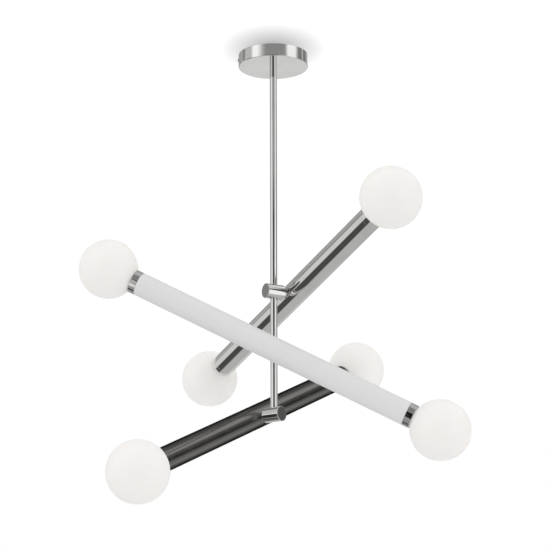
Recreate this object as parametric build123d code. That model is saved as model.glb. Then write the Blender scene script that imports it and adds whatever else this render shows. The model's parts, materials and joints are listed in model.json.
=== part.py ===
"""A three-arm ceiling chandelier: a round canopy, a slim rod and three turning, tilting globe arms.

Millimetres, +Z up. The origin is on the ceiling, at the middle of the canopy, and the lamp hangs down.
In an arm's own frame X runs along its barrel, away from the rod, and Y runs along its tube.
"""

import math
import os

from build123d import *

# Overall sizes
CANOPY_RADIUS = 60.0
CANOPY_HEIGHT = 22.0
ROD_RADIUS = 6.0
ROD_BORE_RADIUS = 4.5
ROD_SEAM_DROP = 329.0
FIRST_ARM_DROP = 421.0
ARM_SPACING = 104.5
ARM_OFFSET = 40.0
GLOBE_RADIUS = 50.0
GLOBE_SPACING = 620.0
TUBE_RADIUS = 20.0

# Arm name: turn about the rod and tilt about the barrel, in degrees, as the arms are set at rest
ARMS = {
    "upper": {"turn": 30.8, "tilt": -18.3},
    "middle": {"turn": 263.1, "tilt": -27.4},
    "lower": {"turn": 141.2, "tilt": -23.1},
}

# Fits
RUNNING_GAP = 0.05
FACE_GAP = 0.05

# Canopy and ceiling bracket
SHEET = 1.0
CANOPY_EDGE = 1.2
BRACKET_THICK = 2.0
BRACKET_WIDTH = 20.0
BRACKET_HALF_LENGTH = 57.6
TAB_DROP = 18.0
WING_LENGTH = 20.0
WING_WIDTH = 36.0
SLOT_SPACING = 70.0
SLOT_LENGTH = 16.0
SLOT_WIDTH = 5.0
SIDE_SCREW_DROP = 9.0
SIDE_SCREW_RADIUS = 2.0
SIDE_SCREW_LENGTH = 8.0
SIDE_HEAD_RADIUS = 3.2
SIDE_HEAD_HEIGHT = 1.4
PEG_RADIUS = 1.8
PEG_LENGTH = 5.0

# Hanger at the canopy's middle
NIPPLE_RADIUS = 4.5
NIPPLE_BORE_RADIUS = 3.3
NIPPLE_TOP_DROP = 16.5
NIPPLE_REACH = 16.0
NUT_FLATS = 14.0
HANGER_NUT_HEIGHT = 4.0
NUT_FLANGE_RADIUS = 9.5
NUT_FLANGE_HEIGHT = 1.4
BUSH_RADIUS = 5.6
BUSH_HEIGHT = 3.0
JOINER_REACH = 15.0

# Terminal block and wiring
BLOCK_SIZE = (34.0, 13.0, 11.0)
BLOCK_MIDDLE_Y = 20.5
POLE_COUNT = 3
POLE_SPACING = 9.5
POLE_BORE_RADIUS = 1.9
CLAMP_SCREW_RADIUS = 1.5
CLAMP_SCREW_HEIGHT = 3.0
EARTH_SCREW_X = 20.0
STEM_LEAD_RADIUS = 2.4
STEM_LEAD_BEND = 4.0
ARM_LEAD_RADIUS = 1.2
ARM_LEAD_APART = 1.4
ARM_LEAD_BEND = 8.0

# Barrel on the rod
BARREL_RADIUS = 12.5
BARREL_BACK = -16.5
BARREL_FRONT = 16.5
BARREL_BORE_RADIUS = 9.6
BARREL_BACK_WALL = 3.0
BARREL_EDGE = 0.7
GROOVE_RADIUS = 5.4
GROOVE_HEIGHT = 6.0
WINDOW_HEIGHT = 8.0
WINDOW_WIDTH = 5.0
SHOE_RADIUS = 7.0
SHOE_BACK = -10.5
SHOE_FRONT = -3.0
DISC_SPRING_THICK = 0.6
DISC_SPRING_BORE = 3.0
PLUG_BACK = 12.5
PLUG_FRONT = 15.7

# Hollow stud that the arm tilts on
STUD_RADIUS = 5.0
STUD_BORE_RADIUS = 3.0
STUD_BACK = 6.6
STUD_FRONT = 29.0
STUD_NUT_BACK = 7.2
STUD_NUT_HEIGHT = 4.0
INNER_WASHER_RADIUS = 8.6
NYLON_WASHER_RADIUS = 8.8
BOSS_BACK = 17.0
BOSS_FLANGE_RADIUS = 10.2
BOSS_FLANGE_THICK = 1.9
BOSS_NECK_RADIUS = 7.6
SADDLE_RADIUS = 9.0
SADDLE_FRONT = 24.2

# Arm tube and its ends, measured along the arm from its middle
TUBE_WALL = 1.0
TUBE_HALF_LENGTH = 249.5
RING_END = 262.0
RING_END_WALL = 2.0
RING_BORE_RADIUS = 17.4
RING_HOLE_RADIUS = 16.0
RING_SLEEVE_DEPTH = 11.0
RING_SLEEVE_GAP = 0.05
RING_EDGE = 0.6
HOLDER_FLANGE_BACK = 240.0
HOLDER_FLANGE_THICK = 3.0
HOLDER_RADIUS = 9.5
HOLDER_END = 259.0
HOLDER_EDGE = 0.8
PIN_APART = 4.5
PIN_RADIUS = 1.0
PIN_DEPTH = 8.0
PIN_HOLE_RADIUS = 1.3
BULB_BACK = 259.2
BULB_BASE_RADIUS = 8.0
BULB_BASE_LENGTH = 9.0
BULB_RADIUS = 7.4
BULB_END = 314.0
GLASS_WALL = 2.0
NECK_RADIUS = 15.4
NECK_BACK = 247.0


def rod_x(radius, start, end):
    """A cylinder along X between two stations."""
    return Pos((start + end) / 2, 0, 0) * Rot(0, 90, 0) * Cylinder(radius, end - start)


def rod_z(radius, start, end):
    """A cylinder along Z between two heights."""
    return Pos(0, 0, (start + end) / 2) * Cylinder(radius, end - start)


def hex_nut(flats, height, bore_radius):
    """A hexagon nut standing on the XY plane."""
    body = extrude(RegularPolygon(flats / 2, 6, major_radius=False), height)
    return body - Cylinder(bore_radius, 3 * height)


def ring_z(inner_radius, outer_radius, start, end):
    """A flat ring or tube about Z between two heights."""
    return rod_z(outer_radius, start, end) - rod_z(inner_radius, start - 1, end + 1)


def turned(points):
    """A solid turned about Z from (radius, height) corners."""
    outline = Plane.XZ * Polyline(*points, close=True)
    return revolve(make_face(outline), Axis.Z)


# ---- Canopy, bracket and hanger ----


def ceiling_bracket():
    """A stamped strip with two slots, a tab at each end and a wing for the terminal block."""
    strip = Box(2 * BRACKET_HALF_LENGTH, BRACKET_WIDTH, BRACKET_THICK)
    wing_middle = (BRACKET_WIDTH + WING_LENGTH) / 2
    strip += Pos(0, wing_middle, 0) * Box(WING_WIDTH, WING_LENGTH, BRACKET_THICK)
    body = Pos(0, 0, -BRACKET_THICK / 2) * strip
    for side in (-1, 1):
        tab = Box(BRACKET_THICK, BRACKET_WIDTH, TAB_DROP)
        body += Pos(side * (BRACKET_HALF_LENGTH - BRACKET_THICK / 2), 0, -TAB_DROP / 2) * tab
        slot = extrude(SlotOverall(SLOT_LENGTH, SLOT_WIDTH), 3 * BRACKET_THICK)
        body -= Pos(side * SLOT_SPACING / 2, 0, -2 * BRACKET_THICK) * slot
    tab_holes = rod_x(SIDE_SCREW_RADIUS, -BRACKET_HALF_LENGTH - 1, 0)
    tab_holes += rod_x(PEG_RADIUS + RUNNING_GAP, 0, BRACKET_HALF_LENGTH + 1)
    body -= Pos(0, 0, -SIDE_SCREW_DROP) * tab_holes
    body -= Pos(EARTH_SCREW_X, 0, 0) * rod_z(CLAMP_SCREW_RADIUS, -3 * BRACKET_THICK, 1)
    body -= Pos(0, BLOCK_MIDDLE_Y, 0) * rod_z(CLAMP_SCREW_RADIUS, -3 * BRACKET_THICK, 1)
    return body


def canopy_cover():
    """A shallow spun cup, open towards the ceiling, with a peg inside its wall opposite the screw."""
    cup = turned([
        (0, -CANOPY_HEIGHT), (CANOPY_RADIUS, -CANOPY_HEIGHT), (CANOPY_RADIUS, 0), (0, 0),
    ])
    cup = fillet(cup.edges().group_by(Axis.Z)[0], CANOPY_EDGE)
    cup -= rod_z(CANOPY_RADIUS - SHEET, -CANOPY_HEIGHT + SHEET, 1)
    cup -= rod_z(NIPPLE_RADIUS, -CANOPY_HEIGHT - 1, 0)
    screw_hole = rod_x(SIDE_SCREW_RADIUS + RUNNING_GAP, -CANOPY_RADIUS - 1, 0)
    peg_end = CANOPY_RADIUS - SHEET / 2
    peg = rod_x(PEG_RADIUS, peg_end - SHEET / 2 - PEG_LENGTH, peg_end)
    return cup - Pos(0, 0, -SIDE_SCREW_DROP) * screw_hole + Pos(0, 0, -SIDE_SCREW_DROP) * peg


def canopy_screw():
    """The screw through the canopy's wall into one tab of the bracket."""
    shank = rod_x(SIDE_SCREW_RADIUS, CANOPY_RADIUS - SIDE_SCREW_LENGTH, CANOPY_RADIUS)
    head = rod_x(SIDE_HEAD_RADIUS, CANOPY_RADIUS, CANOPY_RADIUS + SIDE_HEAD_HEIGHT)
    slot = Pos(CANOPY_RADIUS + SIDE_HEAD_HEIGHT, 0, 0) * Box(1.0, 0.8, 2 * SIDE_HEAD_RADIUS + 1)
    return Pos(0, 0, -SIDE_SCREW_DROP) * Rot(0, 0, 180) * (shank + head - slot)


def hanger_nipple():
    """A threaded tube that ties the rod to the canopy."""
    bottom = -CANOPY_HEIGHT - NIPPLE_REACH
    return ring_z(NIPPLE_BORE_RADIUS, NIPPLE_RADIUS, bottom, -NIPPLE_TOP_DROP)


def hanger_nut():
    """A flanged nut on the canopy's floor."""
    floor = -CANOPY_HEIGHT + SHEET
    nut = hex_nut(NUT_FLATS, HANGER_NUT_HEIGHT, NIPPLE_RADIUS)
    flange = ring_z(NIPPLE_RADIUS, NUT_FLANGE_RADIUS, 0, NUT_FLANGE_HEIGHT)
    return Pos(0, 0, floor) * (nut + flange)


def nipple_bush():
    """A plastic bush that keeps the wires off the nipple's edge."""
    top = -NIPPLE_TOP_DROP + BUSH_HEIGHT
    bush = ring_z(STEM_LEAD_RADIUS + 0.1, BUSH_RADIUS, -NIPPLE_TOP_DROP, top)
    return bush + ring_z(STEM_LEAD_RADIUS + 0.1, NIPPLE_BORE_RADIUS, -NIPPLE_TOP_DROP - 4, -NIPPLE_TOP_DROP)


def pole_stations():
    """X of each terminal pole."""
    return [(pole - (POLE_COUNT - 1) / 2) * POLE_SPACING for pole in range(POLE_COUNT)]


def terminal_block():
    """A moulded block with a wire bore and a screw well for each pole."""
    length, width, height = BLOCK_SIZE
    block = fillet(Box(length, width, height).edges().filter_by(Axis.Z), 1.0)
    for station in pole_stations():
        block -= Pos(station, 0, -1) * Rot(90, 0, 0) * Cylinder(POLE_BORE_RADIUS, 2 * width)
        for side in (-1, 1):
            well = Cylinder(CLAMP_SCREW_RADIUS, height)
            block -= Pos(station, side * width / 4, -height / 2) * well
    return Pos(0, BLOCK_MIDDLE_Y, -BRACKET_THICK - height / 2) * block


def terminal_screws():
    """The block's clamp screws and the earth screw on the bracket."""
    width, height = BLOCK_SIZE[1:]
    bottom = -BRACKET_THICK - height
    screws = []
    for station in pole_stations():
        for side in (-1, 1):
            screw = rod_z(CLAMP_SCREW_RADIUS, bottom + 0.6, bottom + 0.6 + CLAMP_SCREW_HEIGHT)
            screws.append(Pos(station, BLOCK_MIDDLE_Y + side * width / 4, 0) * screw)
    earth = rod_z(CLAMP_SCREW_RADIUS, -BRACKET_THICK, 0)
    earth += rod_z(2 * CLAMP_SCREW_RADIUS, -BRACKET_THICK - 2, -BRACKET_THICK)
    screws.append(Pos(EARTH_SCREW_X, 0, 0) * earth)
    return screws


def stem_leads():
    """The sheathed leads from the terminal block down the hollow rod."""
    block_edge = BLOCK_MIDDLE_Y - BLOCK_SIZE[1] / 2
    height = -BRACKET_THICK - BLOCK_SIZE[2] / 2 - 1
    bottom = -arm_drop(len(ARMS) - 1) - ROD_RADIUS
    path = FilletPolyline((0, block_edge, height), (0, 0, height), (0, 0, bottom), radius=STEM_LEAD_BEND)
    profile = Plane(path @ 0, z_dir=path % 0) * Circle(STEM_LEAD_RADIUS)
    return sweep(profile, path)


# ---- Rods ----


def arm_drop(number):
    """How far an arm's barrel hangs below the ceiling."""
    return FIRST_ARM_DROP + number * ARM_SPACING


def upper_rod():
    """The rod from the canopy to the seam."""
    return ring_z(ROD_BORE_RADIUS, ROD_RADIUS, -ROD_SEAM_DROP, -CANOPY_HEIGHT)


def rod_joiner():
    """A threaded tube that joins the two rods."""
    top = -ROD_SEAM_DROP + JOINER_REACH
    return ring_z(NIPPLE_BORE_RADIUS, ROD_BORE_RADIUS, -ROD_SEAM_DROP - JOINER_REACH, top)


def lower_rod():
    """The rod that carries the barrels, with a groove and a wire window at each of them."""
    bottom = -arm_drop(len(ARMS) - 1) - ROD_RADIUS
    rod = ring_z(ROD_BORE_RADIUS, ROD_RADIUS, bottom, -ROD_SEAM_DROP)
    for number, arm in enumerate(ARMS.values()):
        groove = ring_z(GROOVE_RADIUS, ROD_RADIUS + 1, -GROOVE_HEIGHT / 2, GROOVE_HEIGHT / 2)
        window = Pos(ROD_RADIUS, 0, 0) * Box(ROD_RADIUS, WINDOW_WIDTH, WINDOW_HEIGHT)
        rod -= Pos(0, 0, -arm_drop(number)) * Rot(0, 0, arm["turn"]) * (groove + window)
    return rod


# ---- Barrel pieces, which turn about the rod ----


def barrel(is_last):
    """A bored barrel; the rod passes through it, or ends inside the last one."""
    body = rod_x(BARREL_RADIUS, BARREL_BACK, BARREL_FRONT)
    body = chamfer(body.edges().filter_by(GeomType.CIRCLE), BARREL_EDGE)
    body -= rod_x(BARREL_BORE_RADIUS, BARREL_BACK + BARREL_BACK_WALL, BARREL_FRONT + 1)
    reach = BARREL_RADIUS + 1
    hole_bottom = 0 if is_last else -reach
    return body - rod_z(ROD_RADIUS + RUNNING_GAP, hole_bottom, reach)


def friction_shoe():
    """A brass shoe whose rib runs in the rod's groove and holds the barrel at its height."""
    rib_height = GROOVE_HEIGHT - 2 * FACE_GAP
    seat = Cylinder(ROD_RADIUS + RUNNING_GAP, 4 * SHOE_RADIUS)
    rib = Cylinder(2 * ROD_RADIUS, rib_height) - Cylinder(GROOVE_RADIUS + RUNNING_GAP, rib_height)
    return rod_x(SHOE_RADIUS, SHOE_BACK, SHOE_FRONT) - (seat - rib)


def disc_springs():
    """Two cupped springs, rim to rim, behind the shoe."""
    back = BARREL_BACK + BARREL_BACK_WALL
    middle = (back + SHOE_BACK) / 2
    cup = [
        (DISC_SPRING_BORE, middle - DISC_SPRING_THICK), (DISC_SPRING_BORE, middle),
        (SHOE_RADIUS, back + DISC_SPRING_THICK), (SHOE_RADIUS, back),
    ]
    mirrored = [(radius, 2 * middle - height) for radius, height in cup]
    return [Rot(0, 90, 0) * turned(points) for points in (cup, mirrored)]


def front_plug():
    """The threaded plug that closes the barrel and guides the stud."""
    guide = rod_x(STUD_RADIUS + RUNNING_GAP, PLUG_BACK - 1, PLUG_FRONT + 1)
    return rod_x(BARREL_BORE_RADIUS, PLUG_BACK, PLUG_FRONT) - guide


# ---- Arm pieces, which tilt about the barrel ----


def arm_axis_cylinder(radius):
    """A long cylinder on the arm tube's axis."""
    return Pos(ARM_OFFSET, 0, 0) * Rot(90, 0, 0) * Cylinder(radius, 2 * TUBE_HALF_LENGTH)


def swivel_stud():
    """The hollow stud between the barrel and the arm tube."""
    return rod_x(STUD_RADIUS, STUD_BACK, STUD_FRONT) - rod_x(STUD_BORE_RADIUS, 0, STUD_FRONT + 1)


def stud_nuts():
    """The nut inside the barrel and the nut inside the arm tube."""
    nut = Rot(0, 90, 0) * hex_nut(NUT_FLATS, STUD_NUT_HEIGHT, STUD_RADIUS)
    return [Pos(STUD_NUT_BACK, 0, 0) * nut, Pos(SADDLE_FRONT, 0, 0) * nut]


def friction_washers():
    """The spring washer inside the plug and the nylon washer outside it."""
    inner_back = STUD_NUT_BACK + STUD_NUT_HEIGHT
    inner = rod_x(INNER_WASHER_RADIUS, inner_back, PLUG_BACK - FACE_GAP)
    outer = rod_x(NYLON_WASHER_RADIUS, PLUG_FRONT + FACE_GAP, BOSS_BACK)
    bore = rod_x(STUD_RADIUS, 0, STUD_FRONT)
    return [inner - bore, outer - bore]


def arm_boss():
    """A flanged neck shaped to sit on the tube's round side."""
    neck = rod_x(BOSS_FLANGE_RADIUS, BOSS_BACK, BOSS_BACK + BOSS_FLANGE_THICK)
    neck += rod_x(BOSS_NECK_RADIUS, BOSS_BACK, ARM_OFFSET)
    return neck - arm_axis_cylinder(TUBE_RADIUS) - rod_x(STUD_RADIUS, 0, ARM_OFFSET)


def saddle_washer():
    """A washer with one hollow face that fits the inside of the tube."""
    blank = rod_x(SADDLE_RADIUS, ARM_OFFSET - TUBE_RADIUS, SADDLE_FRONT)
    inside = arm_axis_cylinder(TUBE_RADIUS - TUBE_WALL)
    return (blank & inside) - rod_x(STUD_RADIUS, 0, ARM_OFFSET)


def arm_tube():
    """The round tube of the arm with a hole for the stud."""
    tube = arm_axis_cylinder(TUBE_RADIUS) - arm_axis_cylinder(TUBE_RADIUS - TUBE_WALL)
    return tube - rod_x(STUD_RADIUS, 0, ARM_OFFSET)


def arm_wiring():
    """One lead from the stud's bore to each lamp holder."""
    leads = []
    for side in (-1, 1):
        corners = [
            (STUD_BACK + 1, side * ARM_LEAD_APART, 0),
            (ARM_OFFSET, side * ARM_LEAD_APART, 0),
            (ARM_OFFSET, side * HOLDER_FLANGE_BACK, 0),
        ]
        path = FilletPolyline(*corners, radius=ARM_LEAD_BEND)
        profile = Plane(path @ 0, z_dir=path % 0) * Circle(ARM_LEAD_RADIUS)
        leads.append(sweep(profile, path))
    return leads


def end_ring():
    """A cap ring with a sleeve inside the tube and a hole for the globe's neck."""
    sleeve_radius = TUBE_RADIUS - TUBE_WALL - RING_SLEEVE_GAP
    body = rod_z(TUBE_RADIUS, TUBE_HALF_LENGTH, RING_END)
    body = fillet(body.edges().group_by(Axis.Z)[-1], RING_EDGE)
    body += rod_z(sleeve_radius, TUBE_HALF_LENGTH - RING_SLEEVE_DEPTH, TUBE_HALF_LENGTH)
    body -= rod_z(RING_BORE_RADIUS, 0, RING_END - RING_END_WALL)
    return body - rod_z(RING_HOLE_RADIUS, 0, RING_END + 1)


def lamp_holder():
    """A ceramic two-pin holder on a round flange."""
    flange_front = HOLDER_FLANGE_BACK + HOLDER_FLANGE_THICK
    body = rod_z(HOLDER_RADIUS, HOLDER_FLANGE_BACK, HOLDER_END)
    body = chamfer(body.edges().group_by(Axis.Z)[-1], HOLDER_EDGE)
    body += rod_z(RING_BORE_RADIUS, HOLDER_FLANGE_BACK, flange_front)
    for side in (-1, 1):
        hole = rod_z(PIN_HOLE_RADIUS, HOLDER_END - PIN_DEPTH - 2, HOLDER_END + 1)
        body -= Pos(side * PIN_APART, 0, 0) * hole
    return body


def bulb():
    """A small two-pin bulb with a rounded end."""
    base_end = BULB_BACK + BULB_BASE_LENGTH
    body = rod_z(BULB_RADIUS, BULB_BACK, BULB_END)
    body = fillet(body.edges().group_by(Axis.Z)[-1], BULB_RADIUS - 0.5)
    body += rod_z(BULB_BASE_RADIUS, BULB_BACK, base_end)
    for side in (-1, 1):
        body += Pos(side * PIN_APART, 0, 0) * rod_z(PIN_RADIUS, HOLDER_END - PIN_DEPTH, BULB_BACK)
    return body


def globe():
    """A blown glass ball with a short neck."""
    middle = GLOBE_SPACING / 2
    outside = Pos(0, 0, middle) * Sphere(GLOBE_RADIUS) + rod_z(NECK_RADIUS, NECK_BACK, middle)
    inside = Pos(0, 0, middle) * Sphere(GLOBE_RADIUS - GLASS_WALL)
    return outside - (inside + rod_z(NECK_RADIUS - GLASS_WALL, NECK_BACK - 1, middle))


def placed(place, pieces):
    """The pieces of one node, moved to their place."""
    solids = pieces if isinstance(pieces, list) else [pieces]
    return [place * solid for solid in solids]


def save(name, solids):
    """Writes one node, a single solid or a group of like ones."""
    shape = solids[0] if len(solids) == 1 else Compound(children=solids)
    export_step(shape, f"parts/{name}.step")


os.makedirs("parts", exist_ok=True)

fixed_pieces = [
    ceiling_bracket, canopy_cover, canopy_screw, hanger_nipple, hanger_nut, nipple_bush,
    terminal_block, terminal_screws, stem_leads, upper_rod, rod_joiner, lower_rod,
]
for make in fixed_pieces:
    save(make.__name__, placed(Pos(0, 0, 0), make()))

barrel_pieces = [friction_shoe, disc_springs, front_plug]
tube_pieces = [
    swivel_stud, stud_nuts, friction_washers, arm_boss, saddle_washer, arm_tube, arm_wiring,
]
end_pairs = {"end_rings": end_ring, "lamp_holders": lamp_holder, "bulbs": bulb}
end_turns = {"a": -90, "b": 90}

for number, (arm_name, arm) in enumerate(ARMS.items()):
    barrel_place = Pos(0, 0, -arm_drop(number)) * Rot(0, 0, arm["turn"])
    arm_place = barrel_place * Rot(arm["tilt"], 0, 0)
    end_places = {
        end: arm_place * Pos(ARM_OFFSET, 0, 0) * Rot(turn, 0, 0) for end, turn in end_turns.items()
    }

    save(f"{arm_name}_barrel", placed(barrel_place, barrel(number == len(ARMS) - 1)))
    for make in barrel_pieces:
        save(f"{arm_name}_{make.__name__}", placed(barrel_place, make()))
    for make in tube_pieces:
        save(f"{arm_name}_{make.__name__}", placed(arm_place, make()))
    for pair_name, make in end_pairs.items():
        save(f"{arm_name}_{pair_name}", [place * make() for place in end_places.values()])
    for end, place in end_places.items():
        save(f"{arm_name}_globe_{end}", [place * globe()])
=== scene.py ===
import bmesh
import bpy
import json
import math
from mathutils import Matrix, Vector

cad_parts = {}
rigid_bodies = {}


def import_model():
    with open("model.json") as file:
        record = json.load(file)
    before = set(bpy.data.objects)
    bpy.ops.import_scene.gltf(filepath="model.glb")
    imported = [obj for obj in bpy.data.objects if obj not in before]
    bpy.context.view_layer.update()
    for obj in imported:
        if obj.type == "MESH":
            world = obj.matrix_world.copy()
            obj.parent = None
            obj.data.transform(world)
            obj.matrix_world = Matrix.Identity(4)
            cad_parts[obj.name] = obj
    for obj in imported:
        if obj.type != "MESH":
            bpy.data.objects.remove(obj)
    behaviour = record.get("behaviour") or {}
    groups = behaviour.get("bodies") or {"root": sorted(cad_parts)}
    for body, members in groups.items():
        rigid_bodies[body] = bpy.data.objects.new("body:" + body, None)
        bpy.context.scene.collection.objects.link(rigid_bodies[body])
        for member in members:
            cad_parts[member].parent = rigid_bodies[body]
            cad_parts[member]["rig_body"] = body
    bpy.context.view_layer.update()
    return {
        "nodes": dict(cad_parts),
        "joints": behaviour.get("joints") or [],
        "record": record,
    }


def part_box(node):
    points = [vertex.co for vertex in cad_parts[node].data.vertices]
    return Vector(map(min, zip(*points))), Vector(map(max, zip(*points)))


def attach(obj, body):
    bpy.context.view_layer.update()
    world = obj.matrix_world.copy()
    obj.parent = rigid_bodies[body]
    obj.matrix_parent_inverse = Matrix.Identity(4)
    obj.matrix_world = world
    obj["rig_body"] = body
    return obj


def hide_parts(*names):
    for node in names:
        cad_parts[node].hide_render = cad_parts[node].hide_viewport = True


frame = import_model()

armNames = ["upper", "middle", "lower"]
print("frame loaded, CAD nodes:", len(frame["nodes"]))


# camera, a long lens below the lamp looking a little up

cameraSetup = {
    "place": (0.0021, -3.0845, -1.1475),
    "pitch": 13.76,  # degrees above the horizon
    "roll": -0.145,
    "lens": 123.3,
    "sensor": 36.0,
}


def addCamera(setup):
    data = bpy.data.cameras.new("studioCamera")
    data.lens = setup["lens"]
    data.sensor_width = setup["sensor"]
    data.clip_end = 100
    camera = bpy.data.objects.new("studioCamera", data)
    bpy.context.scene.collection.objects.link(camera)
    lift = Matrix.Rotation(math.radians(90 + setup["pitch"]), 4, "X")
    turn = Matrix.Rotation(math.radians(setup["roll"]), 4, "Z")
    camera.matrix_world = Matrix.Translation(setup["place"]) @ lift @ turn
    bpy.context.scene.camera = camera


addCamera(cameraSetup)
bpy.context.scene.view_settings.view_transform = "Standard"


# studio: what the polished metal sees is laid out as soft cards round the lamp
# azimuth 0 is behind the camera, positive to its right as it looks; degrees

studio = {
    "backdrop": 1.0,
    "fill": (0.82, 1.02),  # light on painted and glass surfaces, from below and from above
    "walls": 0.52,
}

studioCards = [
    # azimuth, half width, lowest, highest, softness, brightness
    (180, 50, -10, 90, 16, 0.42),
    (-130, 40, 40, 62, 8, 0.22),
    (179, 15, -30, -9, 8, 0.76),
    (-150, 17, -30, -8, 6, 0.32),
    (165, 12, 12, 30, 8, 0.85),
    (103, 15, 36, 64, 8, 1.05),
    (125, 13, -20, -5, 6, 0.9),
    (-100, 24, -24, 10, 8, 0.72),
    (64, 18, -44, 36, 12, 1.08),
    (-61, 16, -36, 75, 24, 1.10),
    (5, 36, 17, 62, 18, 0.235),
    (127, 9, 12, 34, 7, 0.22),
    (-92, 15, 8, 75, 3, 0.57),
    (-116, 8, 17, 34, 4, 0.29),
    (-118, 3.5, 11, 17, 2, 0.25),
    (100, 10, 12, 34, 8, 0.23),
    (100, 9, 3, 19, 4, 0.10),
    (-125, 29, -55, -38, 5, 0.16),
    (-55, 30, -58, -41, 5, 0.28),
    (-33, 8, -38, -25, 4, 0.20),
    (-107, 12, -58, -21, 3, 0.075),
    (-84, 9, -38, -2, 5, 0.03),
    (-2, 18, -46, 16.5, 2.5, 0.012),
    (-14, 17, -28, -9, 3, 0.015),
]


class Wires:
    # short hand for adding and joining nodes in one tree
    def __init__(self, tree):
        self.tree = tree

    def add(self, kind, inputs=None, **settings):
        node = self.tree.nodes.new(kind)
        for key, value in settings.items():
            setattr(node, key, value)
        for key, value in (inputs or {}).items():
            self.feed(node, key, value)
        return node

    def feed(self, node, key, value):
        if isinstance(value, bpy.types.NodeSocket):
            self.tree.links.new(value, node.inputs[key])
        else:
            node.inputs[key].default_value = value

    def math(self, operation, *values):
        node = self.add("ShaderNodeMath", operation=operation)
        for number, value in enumerate(values):
            self.feed(node, number, value)
        return node.outputs[0]

    def step(self, value, start, end):
        inputs = {"Value": value, "From Min": start, "From Max": end}
        node = self.add("ShaderNodeMapRange", inputs, interpolation_type="SMOOTHSTEP")
        return node.outputs["Result"]

    def between(self, factor, low, high):
        node = self.add("ShaderNodeMix", {"Factor": factor, "A": low, "B": high}, data_type="FLOAT")
        return node.outputs["Result"]


def cardMask(w, azimuth, elevation, centre, half, lowest, highest, soft):
    # one inside the card, falling softly to nothing at its edges
    centre, half, lowest, highest, soft = map(math.radians, (centre, half, lowest, highest, soft))
    away = w.math("WRAP", w.math("SUBTRACT", azimuth, centre), math.pi, -math.pi)
    across = w.step(w.math("ABSOLUTE", away), half + soft / 2, half - soft / 2)
    above = w.step(elevation, lowest - soft / 2, lowest + soft / 2)
    below = w.step(elevation, highest + soft / 2, highest - soft / 2)
    return w.math("MULTIPLY", across, w.math("MULTIPLY", above, below))


def addWorld():
    world = bpy.data.worlds.new("studioWorld")
    world.use_nodes = True
    bpy.context.scene.world = world
    world.node_tree.nodes.clear()
    w = Wires(world.node_tree)
    facing = w.add("ShaderNodeTexCoord").outputs["Generated"]
    parts = w.add("ShaderNodeSeparateXYZ", {"Vector": facing}).outputs
    azimuth = w.math("ARCTAN2", parts["X"], w.math("MULTIPLY", parts["Y"], -1.0))
    elevation = w.math("ARCSINE", parts["Z"])
    mirrored = studio["walls"]
    for *card, bright in studioCards:
        mirrored = w.between(cardMask(w, azimuth, elevation, *card), mirrored, bright)
    low, high = studio["fill"]
    inputs = {"Value": parts["Z"], "From Min": -1.0, "To Min": low, "To Max": high}
    fill = w.add("ShaderNodeMapRange", inputs).outputs["Result"]
    ray = w.add("ShaderNodeLightPath").outputs
    lit = w.between(ray["Is Glossy Ray"], fill, mirrored)
    level = w.between(ray["Is Camera Ray"], lit, studio["backdrop"])
    glow = w.add("ShaderNodeBackground", {"Color": (1, 1, 1, 1), "Strength": level})
    out = w.add("ShaderNodeOutputWorld")
    world.node_tree.links.new(glow.outputs[0], out.inputs["Surface"])


addWorld()
print("camera and studio ready")


# stage: a pale floor seen only from above, and a ceiling seen only from below
# with a soft shadow round the canopy painted on it, not cast by the canopy

stage = {
    "floorDrop": 2.2,
    "floorSize": 80.0,
    "floorTone": (0.86, 0.86, 0.855, 1),
    "floorRough": 0.9,
    "ceilingSize": 7.0,
    "ceilingLift": 0.0004,
    "ceilingTone": 1.02,
    "shadow": (0.091, 0.120),  # painted shadow round the canopy: how far it reaches across and towards the camera
    "shadowShift": 0.03,
    "paintedShadowTone": 0.47,
    "shadowCore": 0.8,  # where the fall towards the middle has reached its darkest
}


def newMaterial(name):
    material = bpy.data.materials.new(name)
    material.use_nodes = True
    wires = Wires(material.node_tree)
    shader = material.node_tree.nodes["Principled BSDF"]
    return material, wires, shader


def deselectAll():
    bpy.ops.object.select_all(action="DESELECT")


def oneSided(w, above, below):
    side = w.add("ShaderNodeNewGeometry").outputs["Backfacing"]
    mix = w.add("ShaderNodeMixShader", {0: side, 1: above, 2: below})
    w.feed(w.tree.nodes["Material Output"], "Surface", mix.outputs[0])


def addBoard(name, size, height, material):
    deselectAll()
    bpy.ops.mesh.primitive_plane_add(size=size, location=(0, 0, height))
    board = bpy.context.object
    board.name = name
    board.data.materials.append(material)
    board.visible_glossy = False
    board.visible_diffuse = False
    board.visible_shadow = False


def makeFloor(s):
    material, w, shader = newMaterial("stageFloorPale")
    w.feed(shader, "Base Color", s["floorTone"])
    w.feed(shader, "Roughness", s["floorRough"])
    oneSided(w, shader.outputs[0], w.add("ShaderNodeBsdfTransparent").outputs[0])
    return material


def makeCeiling(s):
    material, w, shader = newMaterial("stageCeilingPaintedShadow")
    material.node_tree.nodes.remove(shader)
    # the canopy's shadow is painted into the ceiling's glow: an elliptic gradient, darkest in the middle
    # and shifted towards the camera
    across, ahead = s["shadow"]
    place = w.add("ShaderNodeMapping", {"Vector": w.add("ShaderNodeTexCoord").outputs["Object"]})
    w.feed(place, "Scale", (1 / across, 1 / ahead, 0))
    w.feed(place, "Location", (0, s["shadowShift"] / ahead, 0))
    shade = w.add("ShaderNodeTexGradient", {"Vector": place.outputs[0]}, gradient_type="SPHERICAL")
    tone = w.add("ShaderNodeMapRange", {"Value": shade.outputs["Fac"], "From Max": s["shadowCore"]})
    w.feed(tone, "To Min", s["ceilingTone"])
    w.feed(tone, "To Max", s["paintedShadowTone"])
    glow = w.add("ShaderNodeEmission", {"Strength": tone.outputs["Result"]})
    oneSided(w, w.add("ShaderNodeBsdfTransparent").outputs[0], glow.outputs[0])
    return material


addBoard("stageFloor", stage["floorSize"], -stage["floorDrop"], makeFloor(stage))
addBoard("stageCeiling", stage["ceilingSize"], stage["ceilingLift"], makeCeiling(stage))
print("stage ready")


# finishes

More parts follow.
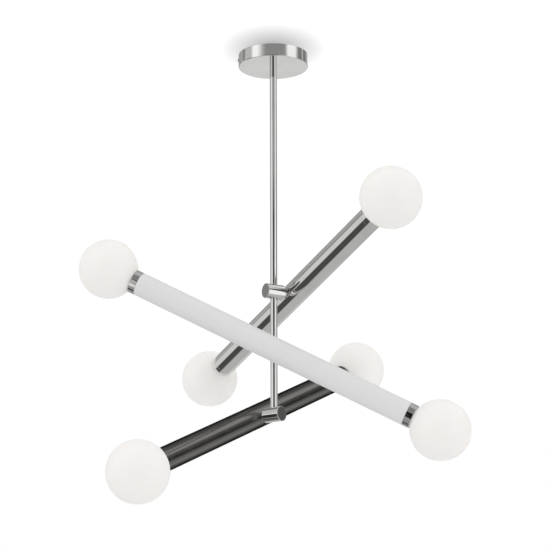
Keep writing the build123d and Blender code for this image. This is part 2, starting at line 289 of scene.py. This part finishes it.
metals = {
    "chrome": {"tone": (0.80, 0.795, 0.783, 1), "rough": (0.015, 0.07), "scratch": 0.05, "edge": 0.9},
    "blackNickel": {"tone": (0.20, 0.197, 0.19, 1), "rough": (0.15, 0.22), "scratch": 0.05, "edge": 0.12},
    "zinc": {"tone": (0.58, 0.59, 0.60, 1), "rough": (0.22, 0.42), "scratch": 0.25, "edge": 1.0},
    "springSteel": {"tone": (0.22, 0.23, 0.27, 1), "rough": (0.25, 0.4), "scratch": 0.2, "edge": 1.0},
    "brass": {"tone": (0.72, 0.52, 0.23, 1), "rough": (0.18, 0.32), "scratch": 0.2, "edge": 1.0},
}

polish = {
    "clouds": 26.0,
    "cloudTones": (0.95, 1.03),
    "hairs": 900.0,
    "hairStretch": (1.0, 0.12, 0.5),
    "hairDepth": 0.00001,
}

paint = {
    "dark": (0.775, 0.775, 0.778, 1),
    "light": (0.80, 0.798, 0.795, 1),
    "clouds": 14.0,
    "rough": (0.34, 0.46),
    "roughPatches": 60.0,
    "peel": 1400.0,
    "peelStrength": 0.35,
    "peelDepth": 0.00003,
}

opal = {
    "dark": (0.92, 0.880, 0.846, 1),
    "light": (0.945, 0.909, 0.878, 1),
    "milk": 22.0,
    "rough": (0.38, 0.52),
    "grain": 2600.0,
    "grainStrength": 0.12,
    "grainDepth": 0.00002,
    "scatter": 0.6,
    "scatterRadius": (1.0, 0.85, 0.7),
    "scatterScale": 0.006,
    "glow": (1.0, 0.945, 0.89, 1),  # painted glow, standing in for light that comes through from the far side
    "paintedGlowStrength": 0.09,
}

plains = {
    "steatite": {
        "dark": (0.78, 0.76, 0.71, 1), "light": (0.87, 0.85, 0.81, 1), "rough": (0.55, 0.75),
        "patches": 60.0, "bump": 0.3, "bumpDepth": 0.00006,
    },
    "frostedBulb": {
        "dark": (0.86, 0.84, 0.76, 1), "light": (0.93, 0.91, 0.85, 1), "rough": (0.3, 0.45),
        "patches": 40.0, "bump": 0.15, "bumpDepth": 0.00003,
    },
    "blackNylon": {
        "dark": (0.015, 0.015, 0.016, 1), "light": (0.035, 0.035, 0.036, 1), "rough": (0.42, 0.6),
        "patches": 80.0, "bump": 0.3, "bumpDepth": 0.00005,
    },
    "ivoryMoulding": {
        "dark": (0.72, 0.69, 0.60, 1), "light": (0.80, 0.77, 0.69, 1), "rough": (0.38, 0.52),
        "patches": 50.0, "bump": 0.2, "bumpDepth": 0.00004,
    },
    "leadSheath": {
        "dark": (0.70, 0.70, 0.69, 1), "light": (0.80, 0.80, 0.79, 1), "rough": (0.45, 0.6),
        "patches": 70.0, "bump": 0.25, "bumpDepth": 0.00004,
    },
}

slotLooks = {
    "chrome": "chrome", "white_paint": "satinWhitePaint", "dark_nickel": "blackNickel",
    "opal_glass": "etchedOpalGlass", "zinc_steel": "zinc", "spring_steel": "springSteel",
    "brass": "brass", "holder_ceramic": "steatite", "bulb_glass": "frostedBulb",
    "black_nylon": "blackNylon", "block_plastic": "ivoryMoulding", "lead_sheath": "leadSheath",
}


def spotted(w, scale, detail=3.0, rough=0.55, stretch=None):
    # noise on the piece's own place, stretched along one way if asked
    place = w.add("ShaderNodeTexCoord").outputs["Object"]
    if stretch:
        place = w.add("ShaderNodeMapping", {"Vector": place, "Scale": stretch}).outputs[0]
    inputs = {"Vector": place, "Scale": scale, "Detail": detail, "Roughness": rough}
    return w.add("ShaderNodeTexNoise", inputs).outputs["Fac"]


def spread(w, value, low, high, start=0.3, end=0.7):
    inputs = {"Value": value, "From Min": start, "From Max": end, "To Min": low, "To Max": high}
    return w.add("ShaderNodeMapRange", inputs).outputs["Result"]


def toned(w, value, dark, light):
    mix = w.add("ShaderNodeMix", {"Factor": value}, data_type="RGBA")
    w.feed(mix, 6, dark)
    w.feed(mix, 7, light)
    return mix.outputs[2]


def scaledTone(tone, factor):
    return tuple(min(1, channel * factor) for channel in tone[:3]) + (1,)


def bumped(w, shader, height, strength, distance):
    inputs = {"Height": height, "Strength": strength, "Distance": distance}
    bump = w.add("ShaderNodeBump", inputs)
    w.feed(shader, "Normal", bump.outputs["Normal"])


def makeMetal(name, m):
    # polish haze in broad clouds, hairline rubbing marks in the gloss, a hint of tone between clouds
    material, w, shader = newMaterial(name)
    w.feed(shader, "Metallic", 1.0)
    w.feed(shader, "Specular Tint", (m["edge"], m["edge"], m["edge"], 1))
    clouds = spotted(w, polish["clouds"], 4.0)
    hairs = spotted(w, polish["hairs"], 2.0, stretch=polish["hairStretch"])
    haze = w.math("MULTIPLY", clouds, w.math("ADD", hairs, 0.5))
    w.feed(shader, "Roughness", spread(w, haze, *m["rough"], 0.35, 0.8))
    dark, light = (scaledTone(m["tone"], factor) for factor in polish["cloudTones"])
    w.feed(shader, "Base Color", toned(w, spread(w, clouds, 0.0, 1.0), dark, light))
    bumped(w, shader, hairs, m["scratch"], polish["hairDepth"])
    return material


def makePaint(name, p):
    # sprayed satin white with a fine orange peel
    material, w, shader = newMaterial(name)
    clouds = spotted(w, p["clouds"], 2.0)
    peel = spotted(w, p["peel"], 2.0)
    w.feed(shader, "Base Color", toned(w, clouds, p["dark"], p["light"]))
    w.feed(shader, "Roughness", spread(w, spotted(w, p["roughPatches"]), *p["rough"]))
    bumped(w, shader, peel, p["peelStrength"], p["peelDepth"])
    return material


def makeOpal(name, o):
    # flashed opal glass, etched on the outside: soft, milky, a little warm, with a faint painted glow
    material, w, shader = newMaterial(name)
    milk = spotted(w, o["milk"], 3.0)
    grain = spotted(w, o["grain"], 1.0)
    w.feed(shader, "Base Color", toned(w, milk, o["dark"], o["light"]))
    w.feed(shader, "Roughness", spread(w, grain, *o["rough"]))
    w.feed(shader, "Subsurface Weight", o["scatter"])
    w.feed(shader, "Subsurface Radius", o["scatterRadius"])
    w.feed(shader, "Subsurface Scale", o["scatterScale"])
    # painted glow: the glass gives off a faint warm light of its own in place of light passing through it
    w.feed(shader, "Emission Color", o["glow"])
    w.feed(shader, "Emission Strength", o["paintedGlowStrength"])
    bumped(w, shader, grain, o["grainStrength"], o["grainDepth"])
    return material


def makePlain(name, p):
    # moulded or fired stuff: broad patches of tone and a fine grain
    material, w, shader = newMaterial(name)
    patches = spotted(w, p["patches"], 4.0)
    grain = spotted(w, p["patches"] * 22, 2.0)
    w.feed(shader, "Base Color", toned(w, patches, p["dark"], p["light"]))
    w.feed(shader, "Roughness", spread(w, grain, *p["rough"]))
    bumped(w, shader, grain, p["bump"], p["bumpDepth"])
    return material


looks = {name: makeMetal(name, metal) for name, metal in metals.items()}
looks.update({name: makePlain(name, plain) for name, plain in plains.items()})
looks["satinWhitePaint"] = makePaint("satinWhitePaint", paint)
looks["etchedOpalGlass"] = makeOpal("etchedOpalGlass", opal)
nodeSlots = {part["node"]: part["material_slot"] for part in frame["record"]["subparts"]}
for node, piece in frame["nodes"].items():
    piece.data.materials.clear()
    piece.data.materials.append(looks[slotLooks[nodeSlots[node]]])
print("finishes ready")


# modelling helpers, all in edit mode and by place

near = 0.00002
pole = 0.0002  # the small ring that a solid piece's end starts from


def makeActive(piece):
    deselectAll()
    piece.select_set(True)
    bpy.context.view_layer.objects.active = piece


def pickEdges(piece, test):
    # leaves edit mode on, with just the edges whose two ends both pass
    makeActive(piece)
    bpy.ops.object.mode_set(mode="EDIT")
    bpy.ops.mesh.select_mode(type="EDGE")
    bpy.ops.mesh.select_all(action="DESELECT")
    shape = bmesh.from_edit_mesh(piece.data)
    for edge in shape.edges:
        edge.select_set(all(test(point.co) for point in edge.verts))
    bmesh.update_edit_mesh(piece.data)


def onRing(radius, height):
    return lambda point: abs(math.hypot(point.x, point.y) - radius) < near and abs(point.z - height) < near


def roundRing(piece, radius, height, width, segments=3):
    pickEdges(piece, onRing(radius, height))
    bpy.ops.mesh.bevel(offset=width, segments=segments, affect="EDGES")
    bpy.ops.object.mode_set(mode="OBJECT")


def turnedPiece(name, sides, profile, hollow=True):
    # a circle drawn out corner by corner along a section of (radius, height);
    # a hollow piece's section closes on itself, a solid one ends in two poles
    deselectAll()
    radius, height = profile[0]
    bpy.ops.mesh.primitive_circle_add(vertices=sides, radius=radius, location=(0, 0, height))
    piece = bpy.context.object
    piece.name = name
    bpy.ops.object.transform_apply(location=True, rotation=True, scale=True)
    bpy.ops.object.mode_set(mode="EDIT")
    bpy.ops.mesh.select_all(action="SELECT")
    for nextRadius, nextHeight in profile[1:] + (profile[:1] if hollow else []):
        rise = {"value": (0, 0, nextHeight - height)}
        bpy.ops.mesh.extrude_edges_move(TRANSFORM_OT_translate=rise)
        grow = nextRadius / radius
        bpy.ops.transform.resize(value=(grow, grow, 1), center_override=(0, 0, nextHeight))
        radius, height = nextRadius, nextHeight
    bpy.ops.object.mode_set(mode="OBJECT")
    for radius, height in [] if hollow else [profile[0], profile[-1]]:
        pickEdges(piece, onRing(radius, height))
        bpy.ops.mesh.merge(type="CENTER")
        bpy.ops.object.mode_set(mode="OBJECT")
    pickEdges(piece, lambda point: True)
    bpy.ops.mesh.remove_doubles(threshold=near / 4)
    bpy.ops.mesh.normals_make_consistent(inside=False)
    bpy.ops.object.mode_set(mode="OBJECT")
    return piece


def cutWith(piece, tool):
    modifier = piece.modifiers.new("cut", "BOOLEAN")
    modifier.object = tool
    makeActive(piece)
    bpy.ops.object.modifier_apply(modifier=modifier.name)
    bpy.data.objects.remove(tool)


def drill(radius, depth, place, direction="Z", sides=64):
    # a cutting cylinder along one axis
    deselectAll()
    turn = {"X": (0, math.pi / 2, 0), "Y": (math.pi / 2, 0, 0), "Z": (0, 0, 0)}[direction]
    bpy.ops.mesh.primitive_cylinder_add(
        vertices=sides, radius=radius, depth=depth, location=place, rotation=turn)
    return bpy.context.object


def smoothed(piece, angle=30):
    makeActive(piece)
    bpy.ops.object.shade_smooth_by_angle(angle=math.radians(angle))
    weights = piece.modifiers.new("evenShading", "WEIGHTED_NORMAL")
    weights.keep_sharp = True
    bpy.ops.object.modifier_apply(modifier=weights.name)


def copied(piece, name, place):
    # a copy with its own mesh, moved to its place for good
    deselectAll()
    twin = piece.copy()
    twin.data = piece.data.copy()
    twin.name = name
    bpy.context.scene.collection.objects.link(twin)
    twin.matrix_world = place
    makeActive(twin)
    bpy.ops.object.transform_apply(location=True, rotation=True, scale=True)
    return twin


def joined(name, pieces):
    deselectAll()
    for piece in pieces:
        piece.select_set(True)
    bpy.context.view_layer.objects.active = pieces[0]
    bpy.ops.object.join()
    pieces[0].name = name
    return pieces[0]


def fitted(piece, body, node):
    # the finish of the CAD node's material slot and the node's body for the piece that stands for it; the
    # node is hidden
    piece.data.materials.clear()
    piece.data.materials.append(looks[slotLooks[nodeSlots[node]]])
    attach(piece, body)
    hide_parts(node)


# where the arms are: barrel frame X away from the rod, arm frame Y along the tube

sizes = {
    "globeSpacing": 0.620,
    "tubeRadius": 0.020,
    "rodRadius": 0.006,
}


def middleOf(node):
    low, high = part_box(node)
    return (low + high) / 2


def frameFrom(place, outward, along):
    turn = Matrix((outward, along, outward.cross(along))).transposed()
    return Matrix.Translation(place) @ turn.to_4x4()


barrelFrames, armFrames, endFrames = {}, {}, {}
for arm in armNames:
    tilt = next(joint for joint in frame["joints"] if joint["name"] == arm + "_tilt")
    pivot, outward = Vector(tilt["pos_m"]), Vector(tilt["axis"]).normalized()
    level = Vector((0, 0, 1)).cross(outward)
    fall = middleOf(arm + "_globe_a").z - middleOf(arm + "_globe_b").z
    rise = fall / sizes["globeSpacing"]
    along = level * math.sqrt(1 - rise * rise) + Vector((0, 0, rise))
    barrelFrames[arm] = frameFrom(pivot, outward, level)
    armFrames[arm] = frameFrom(pivot, outward, along)
    reach = (middleOf(arm + "_arm_tube") - pivot).length
    axis = armFrames[arm] @ Matrix.Translation((reach, 0, 0))
    endFrames[arm, "a"] = axis @ Matrix.Rotation(-math.pi / 2, 4, "X")
    endFrames[arm, "b"] = axis @ Matrix.Rotation(math.pi / 2, 4, "X")
alongX = Matrix.Rotation(math.pi / 2, 4, "Y")  # stands a turned piece's Z along the barrel


# canopy: a spun cup with a soft lower edge, a rolled rim and an inside peg, and its side screw

canopy = {
    "radius": 0.060,
    "height": 0.022,
    "sheet": 0.001,
    "nippleHole": 0.0045,
    "edge": 0.0012,
    "innerEdge": 0.0008,
    "rim": 0.0004,
    "screwDrop": 0.009,
    "screwHole": 0.00205,
    "peg": 0.0018,
    "pegLength": 0.005,
    "pegEdge": 0.0004,
    "sides": 192,
}

screw = {
    "head": 0.0032,
    "headHeight": 0.0014,
    "headEdge": 0.0007,
    "shank": 0.002,
    "length": 0.008,
    "tipEdge": 0.0004,
    "slot": 0.0008,
    "slotTurn": 25,  # degrees
    "sides": 64,
}


def modelCanopy(c):
    outside, inside = c["radius"], c["radius"] - c["sheet"]
    floor = c["sheet"] - c["height"]
    cup = turnedPiece("canopyCup", c["sides"], [
        (c["nippleHole"], -c["height"]), (outside, -c["height"]), (outside, 0),
        (inside, 0), (inside, floor), (c["nippleHole"], floor),
    ])
    roundRing(cup, outside, -c["height"], c["edge"], 6)
    roundRing(cup, inside, floor, c["innerEdge"], 4)
    roundRing(cup, outside, 0, c["rim"])
    roundRing(cup, inside, 0, c["rim"])
    cutWith(cup, drill(c["screwHole"], 10 * c["sheet"], (-outside, 0, -c["screwDrop"]), "X"))
    peg = drill(c["peg"], c["pegLength"], (inside - c["pegLength"] / 2, 0, -c["screwDrop"]), "X", 48)
    pickEdges(peg, lambda point: point.x < inside - c["pegLength"] + near)
    bpy.ops.mesh.bevel(offset=c["pegEdge"], segments=3, affect="EDGES")
    bpy.ops.object.mode_set(mode="OBJECT")
    cup = joined("canopyCup", [cup, peg])
    smoothed(cup)
    return cup


def modelScrew(s):
    # a pan head with a slot and a chamfered shank, head upwards
    piece = turnedPiece("canopyScrew", s["sides"], [
        (pole, -s["length"]), (s["shank"], -s["length"]), (s["shank"], 0),
        (s["head"], 0), (s["head"], s["headHeight"]), (pole, s["headHeight"]),
    ], hollow=False)
    roundRing(piece, s["head"], s["headHeight"], s["headEdge"], 5)
    roundRing(piece, s["shank"], -s["length"], s["tipEdge"], 2)
    deselectAll()
    bpy.ops.mesh.primitive_cube_add(size=1, location=(0, 0, s["headHeight"]))
    slotCutter = bpy.context.object
    slotCutter.scale = (3 * s["head"], s["slot"], s["headHeight"])
    cutWith(piece, slotCutter)
    smoothed(piece, 40)
    return piece


canopyCup = modelCanopy(canopy)
fitted(canopyCup, "rod", "canopy_cover")
screwPlace = Matrix.Translation((-canopy["radius"], 0, -canopy["screwDrop"]))
screwPlace @= Matrix.Rotation(-math.pi / 2, 4, "Y")  # head outwards, to the left
screwPlace @= Matrix.Rotation(math.radians(screw["slotTurn"]), 4, "Z")
canopyScrew = modelScrew(screw)
canopyScrew.matrix_world = screwPlace
makeActive(canopyScrew)
bpy.ops.object.transform_apply(location=True, rotation=True, scale=True)
fitted(canopyScrew, "rod", "canopy_screw")
print("canopy ready")


# rods: the upper one ends in a fine chamfered seam, the lower one has a groove and a window at each barrel

rods = {
    "bore": 0.0045,
    "seam": 0.00035,
    "groove": 0.0054,
    "grooveHeight": 0.006,
    "window": (0.006, 0.005, 0.008),
    "sides": 96,
}


def modelRods(r):
    outside = sizes["rodRadius"]
    low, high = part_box("upper_rod")
    upper = turnedPiece("upperRod", r["sides"], [
        (outside, low.z), (outside, high.z), (r["bore"], high.z), (r["bore"], low.z),
    ])
    roundRing(upper, outside, low.z, r["seam"], 2)
    low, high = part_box("lower_rod")
    section = [(outside, high.z)]
    for arm in armNames:
        drop = barrelFrames[arm].translation.z
        for height in (drop + r["grooveHeight"] / 2, drop - r["grooveHeight"] / 2):
            pair = [(outside, height), (r["groove"], height)]
            section += pair if height > drop else pair[::-1]
    section += [(outside, low.z), (r["bore"], low.z), (r["bore"], high.z)]
    lower = turnedPiece("lowerRod", r["sides"], section)
    roundRing(lower, outside, high.z, r["seam"], 2)
    for arm in armNames:
        deselectAll()
        bpy.ops.mesh.primitive_cube_add(size=1)
        window = bpy.context.object
        place = barrelFrames[arm] @ Matrix.Translation((outside, 0, 0))
        window.matrix_world = place @ Matrix.Diagonal(r["window"] + (1,))
        cutWith(lower, window)
    smoothed(upper)
    smoothed(lower)
    return upper, lower


upperRod, lowerRod = modelRods(rods)
fitted(upperRod, "rod", "upper_rod")
fitted(lowerRod, "rod", "lower_rod")
print("rods ready")


# barrels: a bored cup across the rod, open towards its arm

barrel = {
    "radius": 0.0125,
    "back": -0.0165,
    "front": 0.0165,
    "bore": 0.0096,
    "backWall": 0.003,
    "backEdge": 0.0007,
    "frontEdge": 0.0005,
    "rodHole": 0.00605,
    "holeBand": 0.00705,
    "sides": 128,
}


def modelBarrel(b, isLast):
    floor, band = b["back"] + b["backWall"], b["holeBand"]
    piece = turnedPiece("barrel", b["sides"], [
        (pole, b["back"]), (b["radius"], b["back"]), (b["radius"], -band), (b["radius"], band),
        (b["radius"], b["front"]), (b["bore"], b["front"]), (b["bore"], floor), (pole, floor),
    ], hollow=False)
    roundRing(piece, b["radius"], b["back"], b["backEdge"], 4)
    roundRing(piece, b["radius"], b["front"], b["frontEdge"])
    roundRing(piece, b["bore"], b["front"], b["frontEdge"] / 2, 2)
    reach = b["radius"] + 0.002  # a little past the outside
    if isLast:
        cutWith(piece, drill(b["rodHole"], reach, (-reach / 2, 0, 0), "X"))
    else:
        cutWith(piece, drill(b["rodHole"], 2 * reach, (0, 0, 0), "X"))
    smoothed(piece)
    return piece


throughBarrel = modelBarrel(barrel, False)
endBarrel = modelBarrel(barrel, True)
for arm in armNames:
    pattern = endBarrel if arm == armNames[-1] else throughBarrel
    piece = copied(pattern, arm + "Barrel", barrelFrames[arm] @ alongX)
    fitted(piece, arm + "_barrel_body", arm + "_barrel")
for pattern in (throughBarrel, endBarrel):
    bpy.data.objects.remove(pattern)
print("barrels ready")


# bosses: a flange and neck between the barrel and the tube, hollowed to the tube's curve

boss = {
    "back": 0.017,
    "flange": 0.0102,
    "flangeThick": 0.0019,
    "neck": 0.0076,
    "bore": 0.005,
    "edge": 0.0004,
    "root": 0.0008,
    "tubeMiddle": 0.040,
    "sides": 96,
}


def modelBoss(b):
    shoulder = b["back"] + b["flangeThick"]
    piece = turnedPiece("boss", b["sides"], [
        (b["bore"], b["back"]), (b["flange"], b["back"]), (b["flange"], shoulder),
        (b["neck"], shoulder), (b["neck"], b["tubeMiddle"]), (b["bore"], b["tubeMiddle"]),
    ])
    roundRing(piece, b["flange"], b["back"], b["edge"])
    roundRing(piece, b["flange"], shoulder, b["edge"])
    roundRing(piece, b["neck"], shoulder, b["root"], 4)
    outside = sizes["tubeRadius"]
    cutWith(piece, drill(outside, 3 * outside, (0, 0, b["tubeMiddle"]), "Y", 256))
    smoothed(piece)
    return piece


bossPattern = modelBoss(boss)
for arm in armNames:
    piece = copied(bossPattern, arm + "Boss", armFrames[arm] @ alongX)
    fitted(piece, arm + "_arm", arm + "_arm_boss")
bpy.data.objects.remove(bossPattern)
print("bosses ready")


# arm tubes: thin wall, softened ends, a hole for the stud under the boss

tube = {
    "wall": 0.001,
    "halfLength": 0.2495,
    "endEdge": 0.0003,
    "studHole": 0.005,
    "holeBand": 0.0065,
    "sides": 160,
}


def modelTube(t):
    outside, inside = sizes["tubeRadius"], sizes["tubeRadius"] - t["wall"]
    half, band = t["halfLength"], t["holeBand"]
    piece = turnedPiece("tube", t["sides"], [
        (outside, -half), (outside, -band), (outside, band), (outside, half),
        (inside, half), (inside, band), (inside, -band), (inside, -half),
    ])
    for height in (-half, half):
        roundRing(piece, outside, height, t["endEdge"])
    cutWith(piece, drill(t["studHole"], 3 * t["wall"], (-(outside + inside) / 2, 0, 0), "X"))
    smoothed(piece)
    return piece


tubePattern = modelTube(tube)
for arm in armNames:
    piece = copied(tubePattern, arm + "Tube", endFrames[arm, "a"])
    fitted(piece, arm + "_arm", arm + "_arm_tube")
bpy.data.objects.remove(tubePattern)
print("tubes ready")


# end rings: a cap with rounded edges, a sleeve inside the tube and a hole for the globe's neck

ring = {
    "start": 0.2495,
    "end": 0.262,
    "edge": 0.0006,
    "seam": 0.0006,
    "endWall": 0.002,
    "hole": 0.016,
    "bore": 0.0174,
    "sleeve": 0.01895,
    "sleeveStart": 0.2385,
    "sides": 160,
}


def modelRing(r):
    outside = sizes["tubeRadius"]
    piece = turnedPiece("ring", r["sides"], [
        (r["sleeve"], r["sleeveStart"]), (r["sleeve"], r["start"]), (outside, r["start"]),
        (outside, r["end"]), (r["hole"], r["end"]), (r["hole"], r["end"] - r["endWall"]),
        (r["bore"], r["end"] - r["endWall"]), (r["bore"], r["sleeveStart"]),
    ])
    roundRing(piece, outside, r["start"], r["seam"])
    roundRing(piece, outside, r["end"], r["edge"], 4)
    roundRing(piece, r["hole"], r["end"], r["seam"])
    roundRing(piece, r["sleeve"], r["sleeveStart"], r["seam"], 2)
    smoothed(piece)
    return piece


ringPattern = modelRing(ring)
for arm in armNames:
    pair = [copied(ringPattern, arm + "Ring", endFrames[arm, end]) for end in "ab"]
    fitted(joined(arm + "EndRings", pair), arm + "_arm", arm + "_end_rings")
bpy.data.objects.remove(ringPattern)
print("end rings ready")


# globes: a ball opened at its neck, drawn down into the ring and given its glass thickness

globe = {
    "radius": 0.04998,
    "glass": 0.002,
    "neck": 0.0154,
    "neckStart": 0.247,
    "root": 0.0013,
    "neckEdge": 0.0005,
    "segments": 96,
    "rings": 72,
}


def modelGlobe(g):
    middle = sizes["globeSpacing"] / 2
    opening = middle - math.sqrt(g["radius"] ** 2 - g["neck"] ** 2)
    deselectAll()
    bpy.ops.mesh.primitive_uv_sphere_add(
        segments=g["segments"], ring_count=g["rings"], radius=g["radius"], location=(0, 0, middle))
    piece = bpy.context.object
    piece.name = "globe"
    bpy.ops.object.transform_apply(location=True, rotation=True, scale=True)
    bpy.ops.object.mode_set(mode="EDIT")
    bpy.ops.mesh.select_all(action="SELECT")
    bpy.ops.mesh.bisect(plane_co=(0, 0, opening), plane_no=(0, 0, 1), clear_inner=True)
    bpy.ops.object.mode_set(mode="OBJECT")
    pickEdges(piece, lambda point: abs(point.z - opening) < near)
    drawn = {"value": (0, 0, g["neckStart"] - opening)}
    bpy.ops.mesh.extrude_edges_move(TRANSFORM_OT_translate=drawn)
    bpy.ops.mesh.select_all(action="SELECT")
    bpy.ops.mesh.normals_make_consistent(inside=False)
    bpy.ops.object.mode_set(mode="OBJECT")
    pickEdges(piece, lambda point: abs(point.z - opening) < near)
    bpy.ops.mesh.bevel(offset=g["root"], segments=4, affect="EDGES")
    bpy.ops.object.mode_set(mode="OBJECT")
    glass = piece.modifiers.new("glass", "SOLIDIFY")
    glass.thickness = g["glass"]
    glass.offset = -1
    glass.use_even_offset = True
    makeActive(piece)
    bpy.ops.object.modifier_apply(modifier=glass.name)
    pickEdges(piece, onRing(g["neck"], g["neckStart"]))
    bpy.ops.mesh.bevel(offset=g["neckEdge"], segments=3, affect="EDGES")
    bpy.ops.object.mode_set(mode="OBJECT")
    smoothed(piece, 40)
    return piece


globePattern = modelGlobe(globe)
for (arm, end), place in endFrames.items():
    piece = copied(globePattern, arm + "Globe" + end.upper(), place)
    fitted(piece, arm + "_arm", arm + "_globe_" + end)
bpy.data.objects.remove(globePattern)
print("globes ready")


# the mirror finish of the upper arm stays clear of the two arms below it, outside and inside

for piece in bpy.data.objects:
    if piece.type == "MESH" and piece.get("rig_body", "").startswith(("middle", "lower")):
        piece.visible_glossy = False
